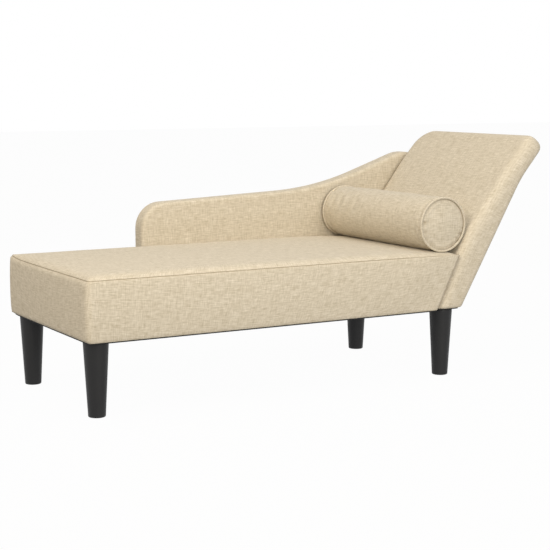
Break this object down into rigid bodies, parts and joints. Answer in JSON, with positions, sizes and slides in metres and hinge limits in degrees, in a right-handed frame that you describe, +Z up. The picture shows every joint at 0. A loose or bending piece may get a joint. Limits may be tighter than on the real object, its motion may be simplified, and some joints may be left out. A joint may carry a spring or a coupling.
{
  "type": "chaise longue",
  "caption": "Upholstered chaise longue with a boxed seat, a leaning flared backrest, a waved side panel behind the seat, a loose bolster cushion and tapered black legs.",
  "frame": {"origin": "on the floor, under the middle of the whole object", "axes": "+X from the foot end towards the backrest, +Y from the open front towards the side panel, +Z up"},
  "size_m": [1.4584, 0.6252, 0.693],
  "materials": {
    "beige_cloth": "linen-look woven cloth with slubs",
    "foam": "open-cell foam and fibre filling",
    "webbing": "woven elastic strap",
    "dust_cloth": "thin black lining",
    "frame_wood": "sawn softwood and plywood",
    "black_plastic": "satin black",
    "plated_steel": "zinc plated"
  },
  "bodies": {
    "chaise": {"leg_foot_front": "black_plastic", "leg_foot_rear": "black_plastic", "leg_head_front": "black_plastic", "leg_head_rear": "black_plastic", "seat_front_rail": "frame_wood", "seat_rear_rail": "frame_wood", "seat_foot_rail": "frame_wood", "seat_head_rail": "frame_wood", "seat_cross_rail_foot": "frame_wood", "seat_cross_rail_head": "frame_wood", "seat_corner_blocks": "frame_wood", "seat_webbing_lengthwise": "webbing", "seat_webbing_crosswise": "webbing", "seat_top_cover": "beige_cloth", "seat_border_cover": "beige_cloth", "seat_foam": "foam", "seat_border_padding": "foam", "seat_dust_cover": "dust_cloth", "back_front_stile": "frame_wood", "back_rear_stile": "frame_wood", "back_joint_rail": "frame_wood", "back_leg_board": "frame_wood", "back_middle_rail": "frame_wood", "back_top_rail": "frame_wood", "back_webbing": "webbing", "back_cover": "beige_cloth", "back_rear_panel": "beige_cloth", "back_foam": "foam", "back_dust_cover": "dust_cloth", "side_panel_board": "frame_wood", "side_panel_padding": "foam", "side_panel_inner_cover": "beige_cloth", "side_panel_outer_cover": "beige_cloth", "leg_bolts": "plated_steel", "leg_nuts": "plated_steel", "seat_back_bolts": "plated_steel", "seat_back_nuts": "plated_steel", "side_panel_bolts": "plated_steel", "side_panel_nuts": "plated_steel"},
    "bolster": {"bolster_filling": "foam", "bolster_tube_cover": "beige_cloth", "bolster_front_end": "beige_cloth", "bolster_rear_end": "beige_cloth", "bolster_front_piping": "beige_cloth", "bolster_rear_piping": "beige_cloth"}
  },
  "joints": [
    {"name": "bolster_lift", "type": "slide", "parent": "chaise", "child": "bolster", "axis": [0, 0, 1], "range_m": [0, 0.35]}
  ]
}
